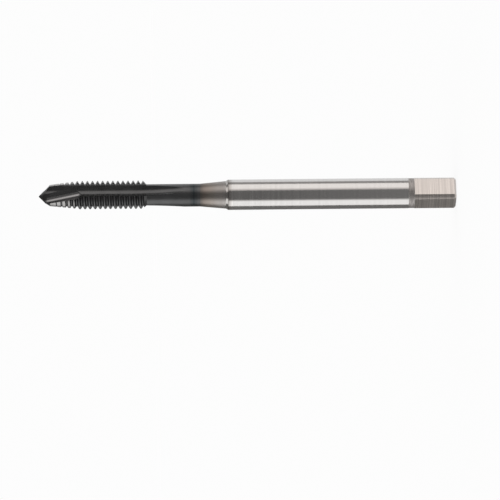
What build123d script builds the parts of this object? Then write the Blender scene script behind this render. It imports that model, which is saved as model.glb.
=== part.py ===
"""A spiral-point machine tap for an M6 x 1 thread, with three straight flutes, a reinforced shank and a square.

Units are millimetres. The tap is one piece of tool steel. It stands on the face of its square, with its axis
on Z and its point up. One flute faces -Y, and the flats of the square face X and Y.
"""

import os
from math import acos, ceil, cos, degrees, radians, sin, sqrt, tan

from build123d import *

# Thread
thread_diameter = 6.0
pitch = 1.0
thread_depth = 0.64
crest_width = 0.125
flank_angle = 30
thread_length = 19.0
thread_phase = 0.01

# Point: the male centre and the tapered lead behind it
tool_length = 80.0
lead_angle = 7.25
lead_front_diameter = 4.64
centre_angle = 45
centre_tip_radius = 0.1

# Neck, cone and shank
neck_diameter = 4.5
neck_length = 10.5
cone_end_diameter = 5.45
cone_length = 5.1
shoulder_length = 0.45
shank_diameter = 6.0

# Square drive
square_width = 4.9
square_length = 8.2
ring_length = 1.2
ring_diameter = 5.9
end_chamfer = 0.35

# Flutes: a round channel, which runs out where the grinding wheel left it
flute_count = 3
flute_radius = 1.6
core_diameter = 2.78
wheel_radius = 60.0
flute_runout_end = 53.5

# Spiral point: a slanting pocket in each flute, which throws the chips ahead of the tap
pocket_turn = -42
pocket_floor = 0.84
pocket_wall = 0.19
pocket_width = 1.75
pocket_angle = 11.2
pocket_draft = 4
pocket_corner = 1.0
pocket_end_radius = 1.1
pocket_bottom = 74.55

# Relief of the lead: each land's lead falls away behind its cutting edge
lead_relief_turn = -29
lead_relief_shift = 0.12

# Sizes that follow from those above
thread_radius = thread_diameter / 2
root_radius = thread_radius - thread_depth
neck_radius = neck_diameter / 2
shank_radius = shank_diameter / 2
lead_front_radius = lead_front_diameter / 2
lead_length = (thread_radius - lead_front_radius) / tan(radians(lead_angle))
centre_length = (lead_front_radius - centre_tip_radius) / tan(radians(centre_angle))
tip_height = tool_length + centre_length
thread_bottom = tool_length - thread_length
neck_bottom = thread_bottom - neck_length
cone_bottom = neck_bottom - cone_length
shank_top = cone_bottom - shoulder_length
flute_axis = core_diameter / 2 + flute_radius
beyond = thread_diameter

# One turn of the thread's groove. It stops short of a full turn inside a flute, where nothing of it is left.
groove_gap = 20
groove_over = 0.05
root_half_width = (pitch - crest_width) / 2 - thread_depth * tan(radians(flank_angle))
mouth_half_width = root_half_width + (thread_depth + groove_over) * tan(radians(flank_angle))
with BuildPart() as groove_turn:
    with BuildLine() as groove_path:
        Helix(
            pitch=pitch,
            height=pitch * (360 - groove_gap) / 360,
            radius=root_radius,
        )
    with BuildSketch(
        Plane(
            origin=groove_path.line @ 0,
            x_dir=(1, 0, 0),
            z_dir=groove_path.line % 0,
        )
    ):
        with BuildLine():
            Polyline(
                (0, -root_half_width),
                (thread_depth + groove_over, -mouth_half_width),
                (thread_depth + groove_over, mouth_half_width),
                (0, root_half_width),
                close=True,
            )
        make_face()
    sweep(path=groove_path.line, is_frenet=True)

# One flute, facing X: a straight channel from the point, then the wheel's arc out through the neck
runout_depth = neck_radius - core_diameter / 2
runout_length = sqrt(2 * wheel_radius * runout_depth - runout_depth**2)
runout_top = flute_runout_end + runout_length
wheel_turn = degrees(acos(1 - runout_depth / wheel_radius)) + 2.5
with BuildPart() as flute:
    with BuildLine(Plane.XZ) as flute_path:
        Line((flute_axis, tip_height + 1), (flute_axis, runout_top))
        CenterArc(
            (flute_axis + wheel_radius - flute_radius, runout_top),
            wheel_radius - flute_radius,
            180,
            wheel_turn,
        )
    with BuildSketch(Plane.XY.offset(tip_height + 1)):
        with Locations((flute_axis, 0)):
            Circle(flute_radius)
    sweep(path=flute_path.line)

# One pocket of the spiral point, facing X: its floor lies along the axis, its long wall slants across it, and
# its end rises in an arc
pocket_slant = radians(pocket_angle)
pocket_plane = Plane(
    origin=(pocket_floor, pocket_wall, pocket_bottom),
    x_dir=(1, 0, 0),
    z_dir=(0, -sin(pocket_slant), cos(pocket_slant)),
)
with BuildPart() as pocket:
    for pocket_depth in (thread_radius, pocket_end_radius):
        with BuildSketch(pocket_plane) as pocket_section:
            with BuildLine():
                Polyline(
                    (0, 0),
                    (0, pocket_width),
                    (pocket_depth, pocket_width),
                    (pocket_depth, -pocket_depth * tan(radians(pocket_draft))),
                    close=True,
                )
            make_face()
            fillet(pocket_section.vertices().sort_by(Axis.X)[:2].sort_by(Axis.Y)[0], pocket_corner)
        if pocket_depth == thread_radius:
            extrude(amount=(tip_height - pocket_bottom) / cos(pocket_slant) + 1)
        else:
            end_axis = Axis(pocket_plane.from_local_coords((pocket_end_radius, 0, 0)), pocket_plane.y_dir)
            revolve(axis=end_axis, revolution_arc=-90)

# Relief of one land's lead, its cutting edge facing X: what lies outside a cone set off the tap's axis
lead_bottom = tool_length - lead_length
lead_overrun = 1.5
lead_slope = tan(radians(lead_angle))
with BuildPart() as lead_relief:
    with BuildSketch(Plane.XZ):
        with BuildLine():
            Polyline(
                (thread_radius + lead_overrun * lead_slope, lead_bottom - lead_overrun),
                (lead_front_radius - lead_overrun * lead_slope, tool_length + lead_overrun),
                (beyond, tool_length + lead_overrun),
                (beyond, lead_bottom - lead_overrun),
                close=True,
            )
        make_face()
    revolve(axis=Axis((lead_relief_shift, 0, 0), (0, 0, 1)), revolution_arc=-75)

# The tap, turned in one outline from the square to the point
turn_count = ceil(thread_length / pitch) + 1
first_turn = thread_bottom - pitch * (1 - thread_phase)
turn_heights = [first_turn + pitch * turn for turn in range(turn_count)]
with BuildPart() as tap:
    with BuildSketch(Plane.XZ):
        with BuildLine():
            Polyline(
                (0, 0),
                (shank_radius, 0),
                (shank_radius, shank_top),
                (cone_end_diameter / 2, cone_bottom),
                (neck_radius, neck_bottom),
                (neck_radius, thread_bottom),
                (thread_radius, thread_bottom + thread_radius - neck_radius),
                (thread_radius, lead_bottom),
                (lead_front_radius, tool_length),
                (centre_tip_radius, tip_height),
                (0, tip_height),
                close=True,
            )
        make_face()
    revolve(axis=Axis.Z)

    # Thread
    with Locations(
        *[Location((0, 0, height), (0, 0, groove_gap / 2 - 90)) for height in turn_heights]
    ):
        add(groove_turn.part, mode=Mode.SUBTRACT)

    # Relief of the three leads
    with PolarLocations(0, flute_count, start_angle=lead_relief_turn - 90):
        add(lead_relief.part, mode=Mode.SUBTRACT)

    # Square drive, and the shallow ring that its flats run out into
    with BuildSketch(Plane.XY):
        Circle(shank_radius + beyond)
        Rectangle(square_width, square_width, mode=Mode.SUBTRACT)
    extrude(amount=square_length, mode=Mode.SUBTRACT)
    with BuildSketch(Plane.XY.offset(square_length)):
        Circle(shank_radius + beyond)
        Circle(ring_diameter / 2, mode=Mode.SUBTRACT)
    extrude(amount=ring_length, mode=Mode.SUBTRACT)
    chamfer(tap.faces().sort_by(Axis.Z)[0].edges(), end_chamfer)

    # Flutes and spiral point
    with PolarLocations(0, flute_count, start_angle=-90):
        add(flute.part, mode=Mode.SUBTRACT)
    with PolarLocations(0, flute_count, start_angle=pocket_turn - 90):
        add(pocket.part, mode=Mode.SUBTRACT)

tap.part.label = "thread_tap"
os.makedirs("parts", exist_ok=True)
export_step(tap.part, "parts/thread_tap.step")
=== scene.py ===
from math import cos, pi, radians, sin, tan

import bmesh
import bpy
from mathutils import Matrix, Vector

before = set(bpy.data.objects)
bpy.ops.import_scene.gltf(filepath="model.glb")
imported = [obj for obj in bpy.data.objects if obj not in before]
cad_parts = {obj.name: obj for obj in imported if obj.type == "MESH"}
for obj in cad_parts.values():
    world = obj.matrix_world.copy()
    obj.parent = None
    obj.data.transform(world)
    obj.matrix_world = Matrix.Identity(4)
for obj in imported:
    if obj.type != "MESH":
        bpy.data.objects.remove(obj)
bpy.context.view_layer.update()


# Thread tap. It is one bar of tool steel, turned and ground, with a black coat on the head and the neck, and
# bright on the shank, the square and the lead. The solid has the whole shape, so only its finishes are made
# here, placed by its own sizes in millimetres from the drive end.
class Shade:
    """A shader value. Python's operators on it add Math nodes."""

    def __init__(self, tree, out):
        self.tree = tree
        self.out = out

    def maths(self, operation, *others):
        node = self.tree.nodes.new("ShaderNodeMath")
        node.operation = operation
        for socket, value in zip(node.inputs, (self, *others)):
            if isinstance(value, Shade):
                self.tree.links.new(value.out, socket)
            else:
                socket.default_value = value
        return Shade(self.tree, node.outputs[0])

    def __add__(self, other):
        return self.maths("ADD", other)

    __radd__ = __add__

    def __mul__(self, other):
        return self.maths("MULTIPLY", other)

    def __sub__(self, other):
        return self.maths("SUBTRACT", other)

    def __rsub__(self, other):
        return (self * -1.0) + other

    def __truediv__(self, other):
        return self.maths("DIVIDE", other)

    def __mod__(self, other):
        return self.maths("FLOORED_MODULO", other)

    def __abs__(self):
        return self.maths("ABSOLUTE")


class Finish:
    """The node tree of a material or a world. One method adds any node but a Math node, and there a name such
    as i0 gives a socket by its number."""

    def __init__(self, tree):
        self.tree = tree
        tree.nodes.clear()

    def node(self, kind, settings=None, output=0, **inputs):
        node = self.tree.nodes.new("ShaderNode" + kind)
        for name, value in (settings or {}).items():
            if name == "stops":
                ramp = node.color_ramp
                while len(ramp.elements) < len(value):
                    ramp.elements.new(1.0)
                for stop, (place, colour) in zip(ramp.elements, value):
                    stop.position = place
                    stop.color = (*colour, 1.0)
            else:
                setattr(node, name, value)
        for name, value in inputs.items():
            numbered = name[0] == "i" and name[1:].isdigit()
            socket = node.inputs[int(name[1:]) if numbered else name.replace("_", " ")]
            if isinstance(value, Shade):
                self.tree.links.new(value.out, socket)
            elif socket.type == "RGBA":
                socket.default_value = (*value, 1.0)
            else:
                socket.default_value = value
        return Shade(self.tree, node.outputs[output]) if node.outputs else None

    def mixed(self, share, first, second):
        return self.node("Mix", {"data_type": "RGBA"}, 2, i0=share, i6=first, i7=second)

    def scaled(self, colour, amount):
        grey = self.node("CombineXYZ", X=amount, Y=amount, Z=amount)
        return self.node("VectorMath", {"operation": "MULTIPLY"}, i0=colour, i1=grey)

    def rising(self, value, low, high):
        soft = {"interpolation_type": "SMOOTHSTEP"}
        return self.node("MapRange", soft, Value=value, From_Min=low, From_Max=high)

    def falling(self, value, low, high):
        return 1 - self.rising(value, low, high)

    def noise(self, place, scale):
        return self.node("TexNoise", Vector=place, Scale=scale, Detail=3.0)

    def lines(self, place, scale):
        return self.rising(self.noise(place, scale), 0.3, 0.7)

    def seen(self):
        direct = self.node("LightPath", output="Is Camera Ray")
        mirrored = self.node("LightPath", output="Is Glossy Ray")
        through = self.node("LightPath", output="Is Transmission Ray")
        return direct.maths("MAXIMUM", mirrored).maths("MAXIMUM", through)


def distance(out, across):
    return (out * out + across * across).maths("SQRT")


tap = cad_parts["thread_tap"]
tap_material = bpy.data.materials.new("ground_and_blackened_steel")
tap_material.use_nodes = True
steel = Finish(tap_material.node_tree)
in_metres = steel.node("TexCoord", output="Object")
place = steel.node("VectorMath", {"operation": "SCALE"}, Vector=in_metres, Scale=1000.0)
tap_x = steel.node("SeparateXYZ", output="X", Vector=place)
tap_y = steel.node("SeparateXYZ", output="Y", Vector=place)
height = steel.node("SeparateXYZ", output="Z", Vector=place)
radius = distance(tap_x, tap_y)
bearing = tap_y.maths("ARCTAN2", tap_x) * (180 / pi)

# square, and the shallow ring where its flats end, with pale crossing lines
square_end = 8.2
ring_end = 9.4
ring_width = ring_end - square_end
flat_reach = 2.45
from_flat = abs(tap_x).maths("MAXIMUM", abs(tap_y))
on_square = steel.falling(height, square_end - 0.02, square_end + 0.02)
on_flat = on_square * steel.falling(from_flat, flat_reach + 0.01, flat_reach + 0.03)
on_ring = steel.falling(height, ring_end - 0.06, ring_end + 0.03) * (1 - on_square)
quarter = abs((bearing + 45) % 90 - 45) / 45
off_cross = abs(abs((height - square_end) / ring_width - 0.5) - quarter * 0.5)
on_cross = steel.falling(off_cross, 0.03, 0.16)

# grinding lines: round the shank, and across each flat of the square
round_stretch = 0.0005
line_scale = 1.9
fine_line_scale = 6.5
blotch_scale = 0.55
along = steel.node("CombineXYZ", X=abs(bearing) * round_stretch, Z=height)
ground = steel.lines(along, line_scale)
fine_ground = steel.lines(along, fine_line_scale)
blotch = steel.noise(place, blotch_scale)

# bright steel of the shank and the square
bright_steel = (0.80, 0.785, 0.77)
flat_steel = (0.745, 0.69, 0.65)
ring_steel = (0.53, 0.50, 0.48)
cross_steel = (0.64, 0.61, 0.59)
colour = steel.scaled(bright_steel, 0.965 + ground * 0.07)
ring_colour = steel.mixed(on_cross, ring_steel, cross_steel)
colour = steel.mixed(on_ring, colour, steel.scaled(ring_colour, 0.8 + blotch * 0.4))
flat_colour = steel.scaled(flat_steel, 0.82 + ground * 0.12 + fine_ground * 0.32)
colour = steel.mixed(on_flat, colour, flat_colour)
rough = 0.13 + on_flat * 0.14 + on_ring * 0.42 + ground * 0.05

# cone, tinted from pale straw at the shoulder to brown at the neck, with a painted highlight on the side that
# faces -X
tint_start = 44.0
cone_foot = 45.4
coat_start = 50.5
# the first stops also paint shade where the shank starts, and a dark line and a highlight at the shoulder's
# edge
tint_and_painted_edge_stops = (
    (0.0, (0.80, 0.785, 0.77)),
    (0.03, (0.76, 0.745, 0.73)),
    (0.07, (0.63, 0.605, 0.585)),
    (0.12, (0.50, 0.48, 0.46)),
    (0.15, (0.27, 0.255, 0.24)),
    (0.17, (0.56, 0.54, 0.52)),
    (0.205, (0.60, 0.58, 0.56)),
    (0.225, (0.465, 0.443, 0.425)),
    (0.50, (0.445, 0.413, 0.388)),
    (0.72, (0.39, 0.345, 0.31)),
    (0.88, (0.31, 0.265, 0.235)),
    (1.0, (0.18, 0.165, 0.155)),
)
tint_place = (height - tint_start) / (coat_start - tint_start)
tint_with_painted_light = steel.node("ValToRGB", {"stops": tint_and_painted_edge_stops}, Fac=tint_place)
on_tint = steel.rising(height, tint_start, tint_start + 0.2)
# painted highlight: the side that faces -X is made lighter
facing_x_for_painted_highlight = (bearing * (pi / 180)).maths("COSINE")
tint_with_painted_light = steel.scaled(tint_with_painted_light, 0.9 + blotch * 0.2 - facing_x_for_painted_highlight * 0.15)
colour = steel.mixed(on_tint, colour, tint_with_painted_light)
rough = rough + steel.rising(height, cone_foot - 0.1, cone_foot + 0.2) * 0.25

# black coat on the neck and the head, with a bluish ring near its edge, and darker at the point
blacking = (0.136, 0.137, 0.138)
blue_black = (0.062, 0.073, 0.077)
blue_place = 51.75
dark_start = 79.4
dark_end = 81.2
coated = steel.rising(height, coat_start - 0.1, coat_start + 0.1)
from_blue = abs(height - blue_place)
on_blue = steel.rising(from_blue, 1.0, 0.4) * 0.6 + steel.rising(from_blue, 0.25, 0.08) * 0.4
coat_colour = steel.mixed(on_blue, blacking, blue_black)
coat_colour = steel.scaled(coat_colour, 0.82 + blotch * 0.36)
coat_colour = steel.scaled(coat_colour, 1 - steel.rising(height, dark_start, dark_end) * 0.42)
colour = steel.mixed(coated, colour, coat_colour)
rough = rough * (1 - coated) + coated * (0.30 + blotch * 0.07)
metal = 1 - coated * 0.09


flute_spacing = 120


def out_and_across(turn, behind=flute_spacing / 2):
    """How far out along a radius a point lies, and how far across it. The radius is one of three, 120 degrees
    apart, and takes in what lies clockwise of it up to the angle called behind."""
    angle = ((bearing - turn + behind) % flute_spacing - behind) * (pi / 180)
    return radius * angle.maths("COSINE"), radius * angle.maths("SINE")


# flutes, with fine lines along them: a round channel that rises out through the neck on the wheel's arc
flute_turn = -90
flute_radius = 1.6
flute_axis = 2.99
runout_top = 63.6
wheel_radius = 60.0
wheel_stretch = 0.03
wheel_line_scale = 9.0
past_runout = (runout_top - height).maths("MAXIMUM", 0.0)
channel_rise = past_runout * past_runout / (2 * wheel_radius)
flute_out, flute_across = out_and_across(flute_turn)
from_flute = distance(flute_out - flute_axis - channel_rise, flute_across)
on_flute = coated * steel.falling(from_flute, flute_radius + 0.02, flute_radius + 0.05)
wheel_place = steel.node("CombineXYZ", X=flute_across, Z=height * wheel_stretch)
wheel_lines = steel.lines(wheel_place, wheel_line_scale)
colour = steel.scaled(colour, 1 - on_flute * (0.2 - wheel_lines * 0.24))
rough = rough - on_flute * (0.12 - wheel_lines * 0.04)

# crests of the thread, a little brighter than its grooves, as a painted highlight
thread_radius = 3.0
painted_crest_highlight = coated * steel.rising(radius, thread_radius - 0.10, thread_radius - 0.04)
colour = steel.scaled(colour, 1 + painted_crest_highlight * 0.5)

# bright lands of the lead, which fall away behind each cutting edge about an axis of their own
lead_steel = (0.50, 0.49, 0.48)
lead_start = 74.65
lead_end = 80.0
lead_slope = 0.1272
relief_shift = 0.12
edge_turn = -119
land_behind = 97.5
bright_start = 75.0
bright_end = 77.6
land_out, land_across = out_and_across(edge_turn, land_behind)
land_radius = distance(land_out - relief_shift, land_across)
below_land = land_radius + (height - lead_start) * lead_slope - (thread_radius - relief_shift)
on_lead = steel.rising(below_land, -0.020, -0.010)
on_lead = on_lead * steel.rising(height, lead_start, lead_start + 0.1)
on_lead = on_lead * steel.falling(height, lead_end - 0.05, lead_end + 0.05)
on_lead = on_lead * (0.5 + steel.rising(height, bright_start, bright_end) * 0.5)
colour = steel.mixed(on_lead, colour, lead_steel)
rough = rough - on_lead * 0.04

# corner of each spiral-point pocket, smoother than the rest of it, with a painted highlight along it
corner_highlight_colour = (0.385, 0.38, 0.38)
pocket_turn = -132
pocket_wall = 0.19
pocket_bottom = 74.55
pocket_slope = tan(radians(11.2))
corner_end = 80.4
pocket_out, pocket_across = out_and_across(pocket_turn)
from_wall = pocket_across - pocket_wall + (height - pocket_bottom) * pocket_slope
painted_corner_highlight = steel.rising(from_wall, 0.05, 0.3) * steel.falling(from_wall, 0.7, 1.0)
painted_corner_highlight = painted_corner_highlight * steel.rising(height, pocket_bottom - 0.45, pocket_bottom)
painted_corner_highlight = painted_corner_highlight * steel.falling(pocket_out, 1.35, 1.6)
painted_corner_highlight = painted_corner_highlight * steel.falling(height, corner_end, corner_end + 0.5)
# the painted highlight along the pocket's corner
colour = steel.mixed(painted_corner_highlight, colour, corner_highlight_colour)
rough = rough - painted_corner_highlight * 0.18

shader = steel.node("BsdfPrincipled", Base_Color=colour, Metallic=metal, Roughness=rough)
steel.node("OutputMaterial", Surface=shader)
tap.data.materials.clear()
tap.data.materials.append(tap_material)


# Floor. A plain pale studio floor, wide enough for every view. The camera sees it nearly white, and it keeps
# the tap's soft shadow. The steel doesn't mirror it, because its light would wash out the shank's bands.
floor_reach = 4.0
floor_drop = 0.00002
white_share = 0.8
floor_mesh = bmesh.new()
bmesh.ops.create_grid(floor_mesh, x_segments=1, y_segments=1, size=floor_reach)
floor_data = bpy.data.meshes.new("floor")
floor_mesh.to_mesh(floor_data)
floor_mesh.free()
floor = bpy.data.objects.new("floor", floor_data)
floor.location.z = -floor_drop
floor.visible_glossy = False
bpy.context.scene.collection.objects.link(floor)
floor_material = bpy.data.materials.new("pale_floor")
floor_material.use_nodes = True
pale = Finish(floor_material.node_tree)
matt = pale.node("BsdfDiffuse", Color=(0.9, 0.9, 0.9))
white = pale.node("Emission", Color=(1, 1, 1), Strength=1.0)
floor_surface = pale.node("MixShader", i0=pale.seen() * white_share, i1=matt, i2=white)
pale.node("OutputMaterial", Surface=floor_surface)
floor_data.materials.append(floor_material)


# Light. A white studio lights the tap evenly from all sides. Grey cards stand round it like a drum, with a
# dark lid above and a pale one below, and only the steel mirrors them: they make the light and dark bands
# along the shank.
studio = bpy.data.worlds.new("studio")
bpy.context.scene.world = studio
studio.use_nodes = True
sky = Finish(studio.node_tree)
light = sky.node("Background", Color=(1, 1, 1), Strength=1.0)
backdrop = sky.node("Background", Color=(0.98, 0.98, 0.98), Strength=1.0)
studio_surface = sky.node("MixShader", i0=sky.seen(), i1=light, i2=backdrop)
sky.node("OutputWorld", Surface=studio_surface)


def hang_card(card_name, card_mesh, card_colour):
    """Adds a card or a lid, in one grey. Only the front card varies: it is darker further up."""
    card_data = bpy.data.meshes.new(card_name)
    card_mesh.to_mesh(card_data)
    card_mesh.free()
    card = bpy.data.objects.new(card_name, card_data)
    for seen_by in ("camera", "diffuse", "transmission", "volume_scatter", "shadow"):
        setattr(card, "visible_" + seen_by, False)
    bpy.context.scene.collection.objects.link(card)
    card_material = bpy.data.materials.new(card_name)
    card_material.use_nodes = True
    grey = Finish(card_material.node_tree)
    if card_name == "front_card":
        card_place = grey.node("TexCoord", output="Object")
        card_rise = grey.node("SeparateXYZ", output="Z", Vector=card_place)
        card_colour = grey.scaled(card_colour, 1.6 - grey.rising(card_rise, -0.065, 0.01) * 0.68)
    lit = grey.node("Emission", Color=card_colour, Strength=1.0)
    grey.node("OutputMaterial", Surface=lit)
    card_data.materials.append(card_material)


card_reach = 1.2
card_height = 2.5
cards = (
    ("front_soft_edge", -171, -166, (0.68, 0.67, 0.66)),
    ("front_edge", -166, -160, (0.36, 0.355, 0.35)),
    ("front_card", -160, -89, (0.120, 0.118, 0.117)),
    ("side_edge", -89, -82, (0.48, 0.46, 0.45)),
    ("side_soft_edge", -82, -74, (0.76, 0.72, 0.70)),
    ("warm_card", -74, -35, (0.96, 0.925, 0.905)),
    ("narrow_card", -35, -10, (0.29, 0.28, 0.275)),
    ("pale_card", -10, 78, (0.76, 0.76, 0.765)),
    ("back_card", 78, 143, (0.158, 0.157, 0.154)),
)
for card_name, card_start, card_end, card_colour in cards:
    card_mesh = bmesh.new()
    foot = card_reach * Vector((cos(radians(card_start)), sin(radians(card_start)), 0))
    ends = [card_mesh.verts.new(foot + Vector((0, 0, rise))) for rise in (-card_height, card_height)]
    edge = card_mesh.edges.new(ends)
    bmesh.ops.spin(
        card_mesh,
        geom=[*ends, edge],
        cent=(0, 0, 0),
        axis=(0, 0, 1),
        angle=radians(card_end - card_start),
        steps=12,
    )
    hang_card(card_name, card_mesh, card_colour)

lid_reach = card_reach * 1.02
lids = (
    ("upper_lid", card_height, (0.16, 0.16, 0.16)),
    ("lower_lid", -card_height, (0.62, 0.61, 0.60)),
)
for lid_name, lid_rise, lid_colour in lids:
    lid_mesh = bmesh.new()
    lid_place = Matrix.Translation((0, 0, lid_rise))
    bmesh.ops.create_circle(lid_mesh, cap_ends=True, segments=48, radius=lid_reach, matrix=lid_place)
    hang_card(lid_name, lid_mesh, lid_colour)
bpy.context.scene.view_settings.view_transform = "Standard"


# Camera. It stands to the side of the tap and is turned on edge, so that the tap lies in the picture as it
# does in the photograph, with its point to the left. It looks a little from the point's side.
picture_size = 500
photo_scale = 5.069
axis_row = 194.63
axis_middle = 0.04061
sensor_width = 36
camera_distance = 1.0
camera_side = radians(-120)
camera_rise = radians(1.8)
camera_roll = radians(0.56)
outward = Vector((cos(camera_side), sin(camera_side), 0))
toward = outward * -cos(camera_rise) - Vector((0, 0, sin(camera_rise)))
up_plain = Vector((-sin(camera_side), cos(camera_side), 0))
right_plain = outward * sin(camera_rise) - Vector((0, 0, cos(camera_rise)))
right = right_plain * cos(camera_roll) - up_plain * sin(camera_roll)
up = right_plain * sin(camera_roll) + up_plain * cos(camera_roll)
aim_drop = up * 0.001 * (picture_size / 2 - axis_row) / photo_scale
aim = Vector((0, 0, axis_middle)) - aim_drop
camera_data = bpy.data.cameras.new("camera")
camera_data.sensor_width = sensor_width
camera_data.lens = sensor_width * camera_distance / (picture_size / photo_scale * 0.001)
camera = bpy.data.objects.new("camera", camera_data)
turn = Matrix((right, up, -toward)).transposed()
camera.matrix_world = Matrix.Translation(aim - toward * camera_distance) @ turn.to_4x4()
bpy.context.scene.collection.objects.link(camera)
bpy.context.scene.camera = camera
